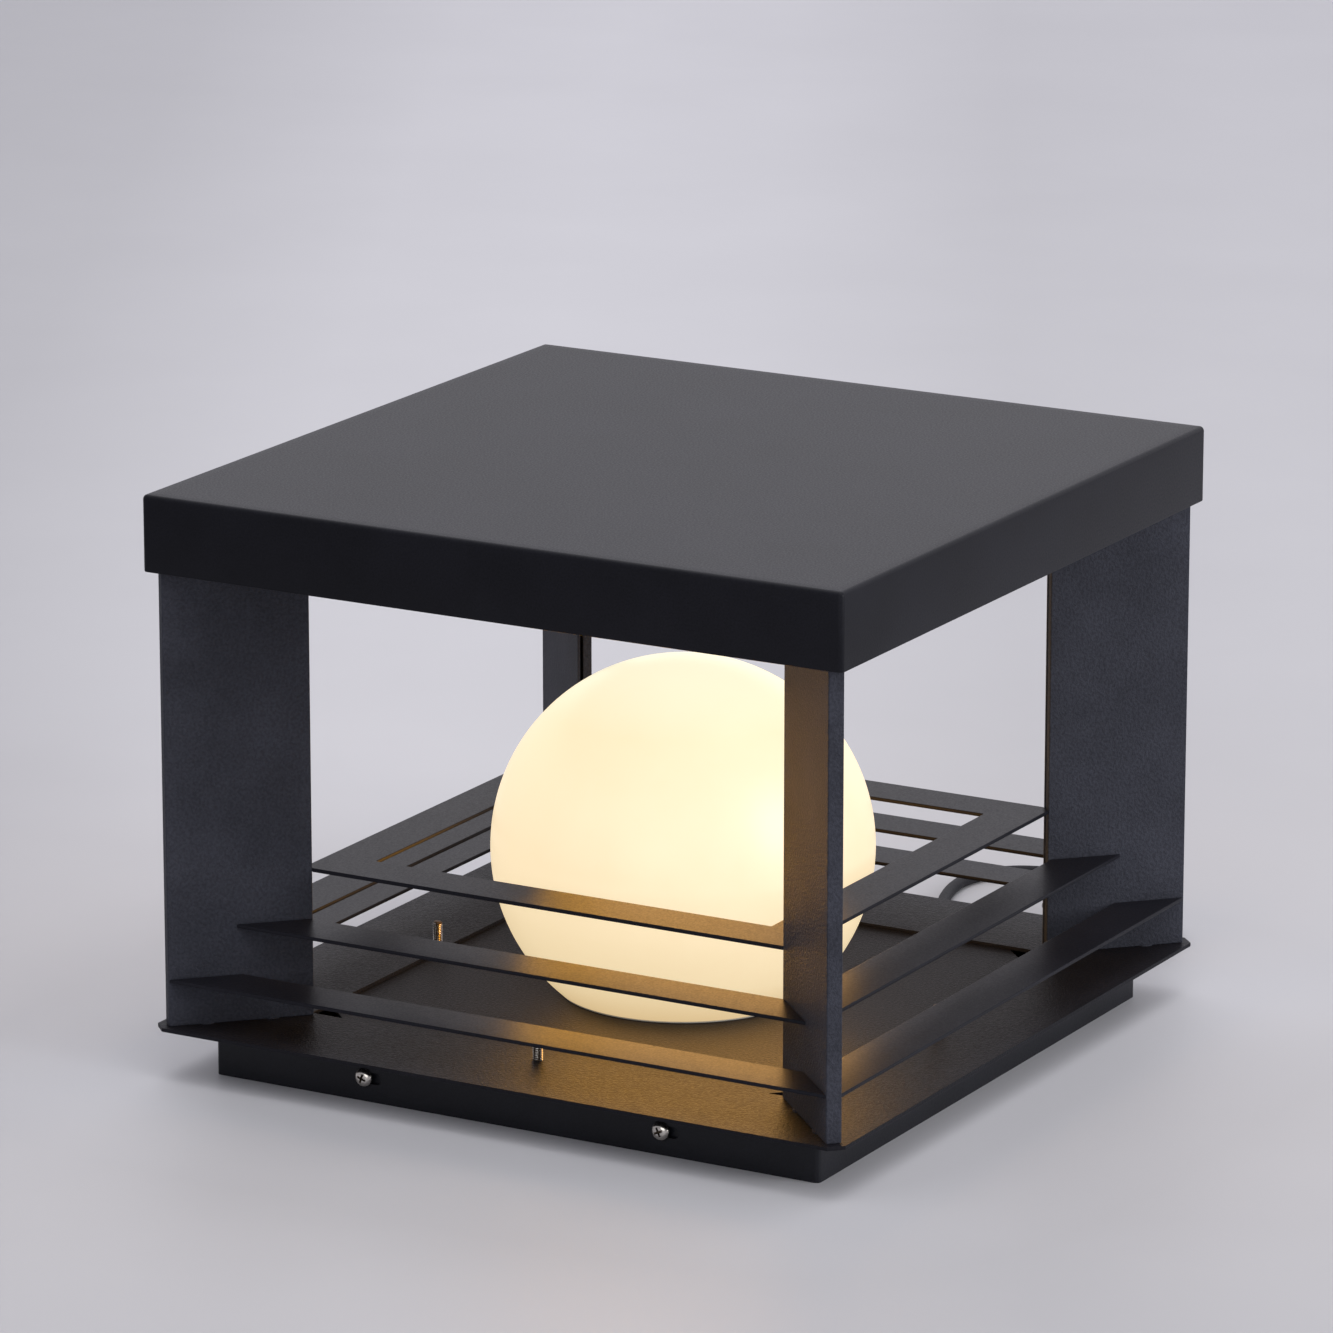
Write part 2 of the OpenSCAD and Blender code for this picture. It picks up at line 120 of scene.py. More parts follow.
def add_colours(nodes, links, source, stops):
    """A colour ramp over the source; stops are (place, (r, g, b))."""
    ramp = nodes.new("ShaderNodeValToRGB")
    points = ramp.color_ramp.elements
    while len(points) < len(stops):
        points.new(0.5)
    for point, (place, colour) in zip(points, stops):
        point.position = place
        point.color = (*colour, 1.0)
    links.new(source, ramp.inputs["Fac"])
    return ramp.outputs["Color"]


def add_bump(nodes, links, shader, heights):
    """Chains bumps; heights are (source, depth in metres)."""
    normal = None
    for source, depth in heights:
        bump = nodes.new("ShaderNodeBump")
        bump.inputs["Distance"].default_value = depth
        links.new(source, bump.inputs["Height"])
        if normal:
            links.new(normal, bump.inputs["Normal"])
        normal = bump.outputs["Normal"]
    links.new(normal, shader.inputs["Normal"])


def multiply_colours(nodes, links, first, second):
    """One colour times the other."""
    mix = nodes.new("ShaderNodeMix")
    mix.data_type = "RGBA"
    mix.blend_type = "MULTIPLY"
    mix.inputs["Factor"].default_value = 1.0
    links.new(first, mix.inputs["A"])
    links.new(second, mix.inputs["B"])
    return mix.outputs["Result"]


def powder_coat(name, colour, roughness, grain, depth, specular):
    """Textured powder coat: an orange-peel grain, with slow changes of shade and gloss."""
    material, nodes, links, shader = new_material(name)
    patches = add_noise(nodes, links, 28.0, 4.0)
    grains = add_noise(nodes, links, grain, 2.0)
    lighter = tuple(1.22 * c for c in colour)
    darker = tuple(0.84 * c for c in colour)
    shades = add_colours(nodes, links, patches, [(0.3, darker), (0.7, lighter)])
    pits = add_colours(nodes, links, grains, [(0.35, (0.72, 0.72, 0.72)), (0.65, (1.0, 1.0, 1.0))])
    links.new(multiply_colours(nodes, links, shades, pits), shader.inputs["Base Color"])
    links.new(add_range(nodes, links, grains, roughness - 0.06, roughness + 0.08),
              shader.inputs["Roughness"])
    shader.inputs["Specular IOR Level"].default_value = specular
    add_bump(nodes, links, shader, [(grains, depth), (add_noise(nodes, links, 2.7 * grain), 0.5 * depth)])
    return material


def brushed_metal(name, colour, roughness, scale=900.0):
    """Bright metal with fine handling marks."""
    material, nodes, links, shader = new_material(name)
    marks = add_noise(nodes, links, scale, 4.0, 0.7)
    dull = tuple(0.8 * c for c in colour)
    links.new(add_colours(nodes, links, marks, [(0.35, dull), (0.65, colour)]),
              shader.inputs["Base Color"])
    links.new(add_range(nodes, links, marks, roughness - 0.08, roughness + 0.12),
              shader.inputs["Roughness"])
    shader.inputs["Metallic"].default_value = 1.0
    add_bump(nodes, links, shader, [(marks, 0.00002)])
    return material


def moulded(name, colour, roughness, scale=1200.0, depth=0.00002, coat=0.0, specular=0.5):
    """Moulded plastic, rubber or glaze: a faint mottle and a fine skin texture."""
    material, nodes, links, shader = new_material(name)
    mottle = add_noise(nodes, links, 60.0, 3.0)
    deeper = tuple(0.9 * c for c in colour)
    links.new(add_colours(nodes, links, mottle, [(0.35, deeper), (0.65, colour)]),
              shader.inputs["Base Color"])
    skin = add_noise(nodes, links, scale, 2.0)
    links.new(add_range(nodes, links, skin, roughness - 0.05, roughness + 0.06),
              shader.inputs["Roughness"])
    shader.inputs["Specular IOR Level"].default_value = specular
    shader.inputs["Coat Weight"].default_value = coat
    shader.inputs["Coat Roughness"].default_value = 0.12
    add_bump(nodes, links, shader, [(skin, depth)])
    return material


def lit_glass(name, colours, strength, low, high):
    """Opal glass lit from inside; colours run from its foot to its crown."""
    material, nodes, links, shader = new_material(name)
    place = nodes.new("ShaderNodeTexCoord")
    split = nodes.new("ShaderNodeSeparateXYZ")
    links.new(place.outputs["Object"], split.inputs["Vector"])
    height = add_range(nodes, links, split.outputs["Z"], 0.0, 1.0, low, high)
    glow = add_colours(nodes, links, height, colours)
    links.new(glow, shader.inputs["Emission Color"])
    shader.inputs["Emission Strength"].default_value = strength
    cloud = add_noise(nodes, links, 45.0, 3.0)
    links.new(add_colours(nodes, links, cloud, [(0.3, (0.27, 0.26, 0.24)), (0.7, (0.31, 0.30, 0.28))]),
              shader.inputs["Base Color"])
    links.new(add_range(nodes, links, cloud, 0.38, 0.46), shader.inputs["Roughness"])
    shader.inputs["Coat Weight"].default_value = 0.28
    shader.inputs["Coat Roughness"].default_value = 0.3
    shader.inputs["Coat Tint"].default_value = (1.0, 0.90, 0.72, 1.0)
    return material


ROOF_COAT = powder_coat("roof_coat", (0.0085, 0.0087, 0.0125), 0.40, 1300.0, 0.00003, 0.13)
POST_COAT = powder_coat("post_coat", (0.0445, 0.0465, 0.060), 0.56, 900.0, 0.00040, 0.07)
LOUVRE_COAT = powder_coat("louvre_coat", (0.0135, 0.0135, 0.0185), 0.36, 1300.0, 0.00003, 0.09)
PLATE_COAT = powder_coat("plate_coat", (0.0130, 0.0127, 0.0165), 0.45, 900.0, 0.00020, 0.080)
SKIRT_COAT = powder_coat("skirt_coat", (0.0090, 0.0095, 0.0135), 0.42, 1300.0, 0.00003, 0.24)
STEEL = brushed_metal("steel_screw", (0.68, 0.64, 0.59), 0.14)
# painted shade: a dark steel for the screws' thread valleys and driver cross, standing in for the shade
# that falls in them
STEEL_PAINTED_SHADE = brushed_metal("steel_painted_shade", (0.16, 0.12, 0.085), 0.5)
ZINC = brushed_metal("zinc_plate", (0.48, 0.50, 0.53), 0.42, 260.0)
BRASS = brushed_metal("contact_brass", (0.72, 0.50, 0.20), 0.30)
NICKEL = brushed_metal("cap_nickel", (0.66, 0.66, 0.67), 0.25)
COPPER = brushed_metal("core_copper", (0.80, 0.38, 0.20), 0.32)
COLLAR_PLASTIC = moulded("collar_plastic", (0.62, 0.60, 0.55), 0.5)
GASKET_RUBBER = moulded("gasket_rubber", (0.50, 0.48, 0.43), 0.65, 1800.0, 0.00004)
CERAMIC = moulded("holder_ceramic", (0.72, 0.70, 0.63), 0.35, 500.0, 0.00001, 0.8)
INSULATOR = moulded("contact_insulator", (0.02, 0.02, 0.022), 0.3)
BULB_PLASTIC = moulded("bulb_plastic", (0.74, 0.74, 0.72), 0.45)
BLOCK_PLASTIC = moulded("block_plastic", (0.66, 0.64, 0.57), 0.5)
LEAD_SLEEVE = moulded("lead_sleeve", (0.34, 0.05, 0.04), 0.5)
CORE_BLUE = moulded("core_blue", (0.04, 0.11, 0.36), 0.45)
CORE_BROWN = moulded("core_sleeve", (0.20, 0.09, 0.035), 0.45)
CABLE_SHEATH = moulded("cable_sheath", (0.022, 0.022, 0.026), 0.6, 900.0, 0.00003, specular=0.15)
GLAND_PLASTIC = moulded("gland_plastic", (0.018, 0.018, 0.019), 0.42)


def striped_sleeve():
    """Green and yellow earth sleeve."""
    material, nodes, links, shader = new_material("earth_sleeve")
    place = nodes.new("ShaderNodeTexCoord")
    bands = nodes.new("ShaderNodeTexWave")
    bands.inputs["Scale"].default_value = 70.0
    bands.inputs["Distortion"].default_value = 0.0
    links.new(place.outputs["Object"], bands.inputs["Vector"])
    stops = [(0.45, (0.06, 0.30, 0.05)), (0.5, (0.62, 0.55, 0.05))]
    links.new(add_colours(nodes, links, bands.outputs["Fac"], stops), shader.inputs["Base Color"])
    shader.inputs["Roughness"].default_value = 0.45
    return material


EARTH_SLEEVE = striped_sleeve()
OPAL_GLASS = lit_glass(
    "opal_glass",
    [(0.0, (0.71, 0.54, 0.30)), (0.12, (0.82, 0.67, 0.42)), (0.35, (0.90, 0.74, 0.48)),
     (0.6, (0.94, 0.78, 0.52)), (0.85, (0.96, 0.84, 0.57)), (1.0, (1.01, 0.98, 0.76))],
    1.0, 0.0215, 0.1525)
BULB_GLOW = lit_glass(
    "bulb_diffuser", [(0.0, (1.0, 0.90, 0.66)), (1.0, (1.0, 0.96, 0.80))], 2.0, 0.086, 0.1205)

# ---------------------------------------------------------------- mesh helpers

TINY = 1e-6
SHARP_ANGLE = 28


def make_object(name, verts, faces, materials, body, smooth=True):
    """A mesh with its faces turned outwards, riding on the body if one is given."""
    mesh = bpy.data.meshes.new(name)
    mesh.from_pydata([tuple(v) for v in verts], [], faces)
    for material in materials:
        mesh.materials.append(material)
    mesh.validate()
    fix = bmesh.new()
    fix.from_mesh(mesh)
    bmesh.ops.recalc_face_normals(fix, faces=fix.faces)
    fix.to_mesh(mesh)
    fix.free()
    if smooth:
        mesh.shade_smooth()
    else:
        mesh.shade_flat()
    obj = bpy.data.objects.new(name, mesh)
    bpy.context.scene.collection.objects.link(obj)
    if body:
        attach(obj, body)
    return obj


def loft(rings, loop=False):
    """Verts and faces through rings of equal length; loop joins the last ring to the first."""
    count = len(rings[0])
    verts = [v for ring in rings for v in ring]
    faces = []
    last = len(rings) if loop else len(rings) - 1
    for i in range(last):
        a, b = i * count, (i + 1) % len(rings) * count
        faces += [(a + k, a + (k + 1) % count, b + (k + 1) % count, b + k) for k in range(count)]
    if not loop:
        faces.append(tuple(reversed(range(count))))
        faces.append(tuple(range((len(rings) - 1) * count, len(rings) * count)))
    return verts, faces


def circle(radius, z, segments, wave=None):
    """Ring of points; wave(angle) scales the radius."""
    points = []
    for k in range(segments):
        angle = 2 * math.pi * k / segments
        r = radius * (wave(angle) if wave else 1.0)
        points.append(Vector((r * math.cos(angle), r * math.sin(angle), z)))
    return points


def turned(name, profile, segments, materials, body, place=None, loop=False, wave=None):
    """Solid of revolution about Z through (radius, z) points, moved by the place matrix."""
    rings = [circle(max(r, TINY), z, segments, wave) for r, z in profile]
    verts, faces = loft(rings, loop=loop)
    if place:
        verts = [place @ v for v in verts]
    return make_object(name, verts, faces, materials, body)


def arc(centre_r, centre_z, radius, start, end, steps):
    """Points of an arc in the (r, z) plane, angles in degrees."""
    points = []
    for i in range(steps + 1):
        angle = math.radians(start + (end - start) * i / steps)
        points.append((centre_r + radius * math.cos(angle), centre_z + radius * math.sin(angle)))
    return points


def sharp_shading(obj, degrees):
    """Smooth faces, with edges sharper than the angle kept crisp."""
    for polygon in obj.data.polygons:
        polygon.use_smooth = True
    obj.data.set_sharp_from_angle(angle=math.radians(degrees))


def soften(obj, width, segments):
    """Welds a CAD node's facets together and rounds its sharp edges, as modifiers."""
    weld = obj.modifiers.new("weld", "WELD")
    weld.merge_threshold = 0.01 * MM
    flat = obj.modifiers.new("flat", "DECIMATE")
    flat.decimate_type = "DISSOLVE"
    flat.angle_limit = math.radians(1)
    bevel = obj.modifiers.new("bevel", "BEVEL")
    bevel.width = width
    bevel.segments = segments
    bevel.limit_method = "ANGLE"
    bevel.angle_limit = math.radians(SHARP_ANGLE)
    bevel.miter_outer = "MITER_ARC"
    weighted = obj.modifiers.new("weighted", "WEIGHTED_NORMAL")
    weighted.mode = "FACE_AREA"
    weighted.weight = 100


def dress(node, material, bevel=None, segments=2):
    """Gives a CAD node its material, and eased edges where bevel is set."""
    obj = NODES[node]
    obj.data.materials.clear()
    obj.data.materials.append(material)
    obj.data.polygons.foreach_set("use_smooth", [True] * len(obj.data.polygons))
    if bevel:
        soften(obj, bevel, segments)


def tube_curve(name, points, radius, material, body, sides=8):
    """A round tube along points, as one open poly spline."""
    data = bpy.data.curves.new(name, "CURVE")
    data.dimensions = "3D"
    data.bevel_depth = radius
    data.bevel_resolution = sides // 2
    data.use_fill_caps = True
    spline = data.splines.new("POLY")
    spline.points.add(len(points) - 1)
    for point, place in zip(spline.points, points):
        point.co = (*place, 1.0)
    spline.use_smooth = True
    data.materials.append(material)
    obj = bpy.data.objects.new(name, data)
    bpy.context.scene.collection.objects.link(obj)
    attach(obj, body)
    return obj


def smooth_path(points, steps=4):
    """Catmull-Rom points through the route's own points."""
    points = [Vector(p) for p in points]
    padded = [2 * points[0] - points[1], *points, 2 * points[-1] - points[-2]]
    path = []
    for a, b, c, d in zip(padded, padded[1:], padded[2:], padded[3:]):
        for i in range(steps):
            t = i / steps
            path.append(0.5 * (2 * b + (c - a) * t + (2 * a - 5 * b + 4 * c - d) * t * t
                               + (3 * b - a - 3 * c + d) * t ** 3))
    return path + [points[-1]]


# ---------------------------------------------------------------- supply cord

CORD_R = 2.5 * MM
CORD_EXIT = (0.030, 0.147, 0.009)
CORD_ROUTE = [
    CORD_EXIT, (0.030, 0.150, 0.009), (0.0298, 0.1545, 0.0087), (0.0288, 0.1605, 0.0078),
    (0.0262, 0.1685, 0.006), (0.0225, 0.177, 0.0042), (0.0175, 0.187, 0.0029),
    (0.0124, 0.196, 0.0025), (0.0081, 0.206, 0.0025), (0.0048, 0.217, 0.0025),
    (0.0034, 0.225, 0.0025), (0.003, 0.232, 0.0025), (0.0048, 0.242, 0.0025),
    (0.0098, 0.2507, 0.0025), (0.0175, 0.2572, 0.0025), (0.027, 0.2607, 0.0025),
    (0.0372, 0.2607, 0.0025), (0.0467, 0.2572, 0.0025), (0.0544, 0.2507, 0.0025),
    (0.0594, 0.242, 0.0025), (0.0612, 0.232, 0.0025), (0.0616, 0.222, 0.0025),
    (0.0619, 0.208, 0.0025)]
COIL_CENTRE = Vector((0.0875, 0.200, 0.0))
COIL_R = 0.0255
COIL_END_R = 0.0204
COIL_TURNS = 4
COIL_START = 180.0
COIL_TAIL = 150.0
COIL_STEP = 360.0 / 28
RISE_FROM, RISE_OVER = 223, 101
INWARD_FROM, INWARD_OVER = 80, 140
DOWN_FROM, DOWN_OVER = 180, 205
SLEEVE_R = 0.9 * MM
CORE_R = 0.5 * MM


def step_up(t):
    """0 to 1, level at both ends."""
    t = min(max(t, 0.0), 1.0)
    return t * t * (3 - 2 * t)


def coil_point(radius, degrees, z):
    """Point round the coil's middle."""
    angle = math.radians(degrees)
    return COIL_CENTRE + Vector((radius * math.cos(angle), radius * math.sin(angle), z))


def coil_path():
    """Stacked turns, each stepping up one diameter; the last moves inside them and down to the floor."""
    points = []
    top = CORD_R * (2 * COIL_TURNS - 1)
    last_start = 360.0 * (COIL_TURNS - 1)
    for k in range(int((last_start + 360 + COIL_TAIL) / COIL_STEP) + 1):
        around = min(k * COIL_STEP, last_start + 360 + COIL_TAIL)
        if around < last_start:
            turn, part = divmod(around, 360.0)
            radius = COIL_R
            z = CORD_R * (1 + 2 * (turn + step_up((part - RISE_FROM) / RISE_OVER)))
        else:
            past = around - last_start
            radius = COIL_R - (COIL_R - COIL_END_R) * step_up((past - INWARD_FROM) / INWARD_OVER)
            z = top - (top - CORD_R) * step_up((past - DOWN_FROM) / DOWN_OVER)
        points.append(coil_point(radius, COIL_START + around, z))
    return points


def make_cores():
    """Two stripped cores beyond the sheath's end, with bare copper tips."""
    made = []
    turn = Matrix.Translation(COIL_CENTRE) @ Matrix.Rotation(math.radians(COIL_START + COIL_TAIL), 4, "Z")
    for side, material, name in ((-1, CORE_BROWN, "brown"), (1, CORE_BLUE, "blue")):
        route = [(20.4 + side, -1, 1.8), (20.4 + side, 1, 1.6), (19.4 + 1.2 * side, 5, 1.2),
                 (16.4 + 2 * side, 10, 1.0), (11.4 + 3 * side, 14, 1.0), (7.5 + 3.5 * side, 15.4, 1.0)]
        tip = [(7.6 + 3.5 * side, 15.4, 1.0), (5.4 + 4 * side, 16, 0.95), (3.6 + 4.2 * side, 16.2, 0.9)]
        sleeve = [turn @ (Vector(p) * MM) for p in smooth_path(route, 4)]
        wire = [turn @ (Vector(p) * MM) for p in tip]
        made.append(tube_curve(f"core_{name}", sleeve, SLEEVE_R, material, "cage"))
        made.append(tube_curve(f"core_{name}_copper", wire, CORE_R, COPPER, "cage"))
    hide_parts("cord_cores")
    return made


def make_cord():
    """The supply lead: out of the gland, down to the floor, round its coil, and its cores."""
    path = smooth_path(CORD_ROUTE, 3)[:-1] + coil_path()
    cord = tube_curve("supply_lead", path, CORD_R, CABLE_SHEATH, "cage", 12)
    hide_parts("supply_cord", "cord_coil")
    cores = make_cores()


make_cord()

# ---------------------------------------------------------------- sheet-metal cage

BLADES = [f"louvre_{level}_{side}" for level in ("low", "mid")
          for side in ("front", "right", "rear", "left")]
POSTS = [f"post_{side}" for side in ("front", "right", "back", "left")]
POST_ANGLES = (-45, 45, 135, 225)
POST_HALF = 3.0 * MM
WELD_R = 0.65 * MM
WELD_STEPS = 12
WELD_SIDES = 10
SHEET = 1.5 * MM
ROOF_CORNER = 2.0 * MM
ROOF_BEND = 1.8 * MM
ROOF_BEND_STEPS = 6
ROOF_LIP = 0.45 * MM
FLAT_CORNER = 0.3 * MM


def rounded_square(half, radius, z, corner_steps=6):
    """Ring of points round a square with rounded corners."""
    points = []
    for quarter, (sx, sy) in enumerate(((1, 1), (-1, 1), (-1, -1), (1, -1))):
        for k in range(corner_steps + 1):
            angle = math.radians(90 * quarter + 90 * k / corner_steps)
            points.append(Vector((sx * (half - radius) + radius * math.cos(angle),
                                  sy * (half - radius) + radius * math.sin(angle), z)))
    return points


def make_roof():
    """Folded tray: flat top, bent edges, a thin eased lip at the skirt's foot."""
    low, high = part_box("roof")
    half = high.x
    outer = [rounded_square(half - ROOF_LIP, ROOF_CORNER - ROOF_LIP, low.z),
             rounded_square(half - 0.12 * MM, 1.9 * MM, low.z + 0.12 * MM),
             rounded_square(half, ROOF_CORNER, low.z + ROOF_LIP)]
    for k in range(ROOF_BEND_STEPS + 1):
        angle = math.radians(90 * k / ROOF_BEND_STEPS)
        drop = ROOF_BEND * (1 - math.sin(angle))
        pull = ROOF_BEND * (1 - math.cos(angle))
        outer.append(rounded_square(half - pull, max(ROOF_CORNER - pull, FLAT_CORNER), high.z - drop))
    outer.append(rounded_square(half - 6 * MM, FLAT_CORNER, high.z))
    outer.append(rounded_square(half - 90 * MM, FLAT_CORNER, high.z))
    inside = half - SHEET
    inner = [rounded_square(inside - 40 * MM, FLAT_CORNER, high.z - SHEET),
             rounded_square(inside - 1 * MM, FLAT_CORNER, high.z - SHEET),
             rounded_square(inside, 0.6 * MM, high.z - SHEET - 1 * MM),
             rounded_square(inside, 0.6 * MM, low.z + ROOF_LIP),
             rounded_square(inside + 0.2 * MM, 0.7 * MM, low.z)]
    verts, faces = loft(list(reversed(outer)) + list(reversed(inner)))
    roof = make_object("roof_tray", verts, faces, [ROOF_COAT], "cage")
    sharp_shading(roof, 40)
    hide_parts("roof")


def make_bead(name, start, end, seed):
    """A lumpy weld bead between two points."""
    draw = random.Random(seed)
    start, end = Vector(start), Vector(end)
    along = (end - start).normalized()
    side = along.cross(Vector((0, 0, 1)))
    side = Vector((1, 0, 0)) if side.length < 0.1 else side.normalized()
    up = side.cross(along)
    rings = []
    for i in range(WELD_STEPS + 1):
        t = i / WELD_STEPS
        swell = math.sin(math.pi * (0.04 + 0.92 * t)) ** 0.5 * (0.85 + 0.3 * draw.random())
        centre = start.lerp(end, t)
        rings.append([centre + WELD_R * swell * (math.cos(a) * side + math.sin(a) * up)
                      for a in (2 * math.pi * k / WELD_SIDES for k in range(WELD_SIDES))])
    verts, faces = loft(rings)
    bead = make_object(name, verts, faces, [POST_COAT], "cage")


def diagonal(radius, offset, angle, z):
    """Point at radius along a post's diagonal and offset sideways from its middle plane."""
    a = math.radians(angle)
    return Vector((radius * math.cos(a) - offset * math.sin(a),
                   radius * math.sin(a) + offset * math.cos(a), z))


def make_welds():
    """Tack welds under the powder coat: along each post's foot and at the louvre slots."""
    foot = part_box("post_front")[0].z
    low_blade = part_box("louvre_low_front")[0].z
    mid_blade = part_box("louvre_mid_front")[0].z
    for number, (post, angle) in enumerate(zip(POSTS, POST_ANGLES)):
        for side in (-1, 1):
            spots = [(0.1625, foot, 4.5), (0.188, foot, 4.5),
                     (0.190, low_blade, 3.0), (0.166, mid_blade, 3.0)]
            for spot, (radius, z, length) in enumerate(spots):
                start = diagonal(radius, side * POST_HALF, angle, z)
                end = diagonal(radius + length * MM, side * POST_HALF, angle, z)
                name = f"weld_{post}_{'a' if side < 0 else 'b'}{spot}"
                make_bead(name, start, end, 100 * number + 10 * spot + side)


def dress_cage():
    """Coats and eased edges for the cage's sheet metal."""
    for node in POSTS:
        dress(node, POST_COAT, 0.5 * MM, 3)
    for node in BLADES + ["louvre_top"]:
        dress(node, LOUVRE_COAT, 0.3 * MM)
    dress("base_flange", PLATE_COAT, 0.35 * MM)
    dress("carrier_plate", PLATE_COAT, 0.3 * MM)
    dress("base_skirt", SKIRT_COAT, 0.35 * MM)
    dress("pillar_bracket", SKIRT_COAT, 0.4 * MM)


make_roof()
dress_cage()
make_welds()

# ---------------------------------------------------------------- screws

HEAD_SIDES = 32
HEAD_R = 3.9 * MM
HEAD_H = 2.4 * MM
PITCH = 0.7 * MM
RINGS_PER_TURN = 6
THREAD_R = 1.99 * MM
THREAD_DEPTH = 0.38 * MM
SHANK_R = 1.98 * MM
GROOVE_R = 1.80 * MM
CROSS_R = 2.3 * MM
SIDE_SCREW_LENGTH = 10 * MM
SIDE_THREAD_FROM = 2 * MM
CARRIER_THREAD_FROM = 1 * MM


def thread_rings(start, end):
    """Rings of a helical thread along Z, with a chamfered end."""
    rings = []
    steps = int((end - start) / PITCH * RINGS_PER_TURN)
    for i in range(steps + 1):
        z = start + (end - start) * i / steps
        point = min(1.0, max(0.0, (end - z) / PITCH))
        ring = []
        for k in range(HEAD_SIDES):
            phase = (z / PITCH - k / HEAD_SIDES) % 1.0
            ridge = 1 - abs(2 * phase - 1)
            r = (THREAD_R - THREAD_DEPTH * (1 - ridge)) * (0.78 + 0.22 * point)
            angle = 2 * math.pi * k / HEAD_SIDES
            ring.append(Vector((r * math.cos(angle), r * math.sin(angle), z)))
        rings.append(ring)
    return rings


def cut(obj, cutter):
    """Takes the cutter out of obj's mesh and removes the cutter."""
    boolean = obj.modifiers.new("cut", "BOOLEAN")
    boolean.operation = "DIFFERENCE"
    boolean.solver = "EXACT"
    boolean.object = cutter
    depsgraph = bpy.context.evaluated_depsgraph_get()
    mesh = bpy.data.meshes.new_from_object(obj.evaluated_get(depsgraph))
    obj.modifiers.clear()
    obj.data = mesh
    bpy.data.objects.remove(cutter)


def driver_bar(turn):
    """One bar of the driver cross: wide at its mouth over the head, narrow at its foot inside it."""
    mesh = bmesh.new()
    bar = bmesh.ops.create_cube(mesh, size=1.0)["verts"]
    for v in bar:
        deep = v.co.z > 0
        length = 1.6 * MM if deep else 4.6 * MM
        width = 0.5 * MM if deep else 1.0 * MM
        v.co = Vector((v.co.x * length, v.co.y * width, -0.8 * MM if deep else -2.8 * MM))
    bmesh.ops.rotate(mesh, verts=bar, matrix=Matrix.Rotation(math.radians(turn), 3, "Z"))
    data = bpy.data.meshes.new("bar")
    mesh.to_mesh(data)
    mesh.free()
    cutter = bpy.data.objects.new("bar", data)
    bpy.context.scene.collection.objects.link(cutter)
    return cutter


def close_mesh(obj):
    """Merges the points at each pole, closes what is left open and turns every face outwards."""
    mesh = bmesh.new()
    mesh.from_mesh(obj.data)
    bmesh.ops.remove_doubles(mesh, verts=mesh.verts, dist=0.004 * MM)
    bmesh.ops.holes_fill(mesh, edges=[e for e in mesh.edges if e.is_boundary], sides=0)
    bmesh.ops.recalc_face_normals(mesh, faces=mesh.faces)
    mesh.to_mesh(obj.data)
    mesh.free()


def paint_shade_on_faces(screw, low, high, reach):
    """Gives the dark steel of painted shade to faces between two heights and within reach of the axis."""
    for face in screw.data.polygons:
        middle = face.center
        if low < middle.z < high and math.hypot(middle.x, middle.y) < reach:
            face.material_index = 1


def screw_mesh(length, thread_from):
    """Pan head screw along +Z with the underside of its head at z = 0."""
    head = [(0.0, -2.4), (1.4, -2.36), (2.3, -2.15), (3.0, -1.75), (3.55, -1.15), (3.82, -0.6),
            (3.9, -0.25), (3.84, -0.06), (3.7, 0.0), (2.0, 0.0)]
    rings = [circle(max(r * MM, TINY), z * MM, HEAD_SIDES) for r, z in head]
    rings.append(circle(SHANK_R, thread_from - 0.1 * MM, HEAD_SIDES))
    rings += thread_rings(thread_from, length)
    verts, faces = loft(rings)
    screw = make_object("screw", verts, faces, [STEEL, STEEL_PAINTED_SHADE], None)
    # painted shade in the thread's valleys
    paint_shade_on_faces(screw, thread_from, length, GROOVE_R)
    close_mesh(screw)
    for turn in (0, 90):
        cut(screw, driver_bar(turn))
    # painted shade on the walls and floor of the driver cross
    paint_shade_on_faces(screw, -2.0 * MM, -0.5 * MM, CROSS_R)
    sharp_shading(screw, 50)
    mesh = screw.data
    bpy.data.objects.remove(screw)
    return mesh


def place_screw(name, mesh, matrix, turn, node):
    """Sets a copy of the screw in its hole, its cross turned by so many degrees."""
    copy = mesh.copy()
    copy.transform(matrix @ Matrix.Rotation(math.radians(turn), 4, "Z"))
    screw = bpy.data.objects.new(name, copy)
    bpy.context.scene.collection.objects.link(screw)
    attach(screw, "cage")
    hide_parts(node)


def make_screws():
    """Side screws through the skirt, and carrier screws up through the flange."""
    low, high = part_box("side_screws")
    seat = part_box("base_skirt")[1].y
    side_x = (high.x - low.x) / 2 - HEAD_R
    side_z = (low.z + high.z) / 2
    mesh = screw_mesh(SIDE_SCREW_LENGTH, SIDE_THREAD_FROM)
    spots = [("front_left", -1, -1, 20), ("front_right", 1, -1, 65),
             ("rear_left", -1, 1, 40), ("rear_right", 1, 1, 5)]
    for name, sx, sy, turn in spots:
        facing = Matrix.Rotation(math.radians(90 * sy), 4, "X")
        place = Matrix.Translation((sx * side_x, sy * seat, side_z)) @ facing
        place_screw(f"side_screw_{name}", mesh, place, turn, "side_screws")
    low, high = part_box("carrier_screws")
    reach = high.x - HEAD_R
    head_seat = low.z + HEAD_H
    mesh = screw_mesh(high.z - head_seat, CARRIER_THREAD_FROM)
    for k in range(4):
        angle = math.radians(90 * k)
        place = Matrix.Translation((reach * math.cos(angle), reach * math.sin(angle), head_seat))
        place_screw(f"carrier_screw_{k + 1}", mesh, place, 31 * k, "carrier_screws")


make_screws()
for small in ("carrier_washers", "side_nuts", "earth_screw", "terminal_screws", "holder_screws"):
    dress(small, STEEL, 0.15 * MM)

# ---------------------------------------------------------------- globe and its fixing

GLOBE_CENTRE_Z = 0.0775
GLOBE_WALL = 3 * MM
RIM_TOP = 0.6 * MM
GASKET_R = 44.7 * MM


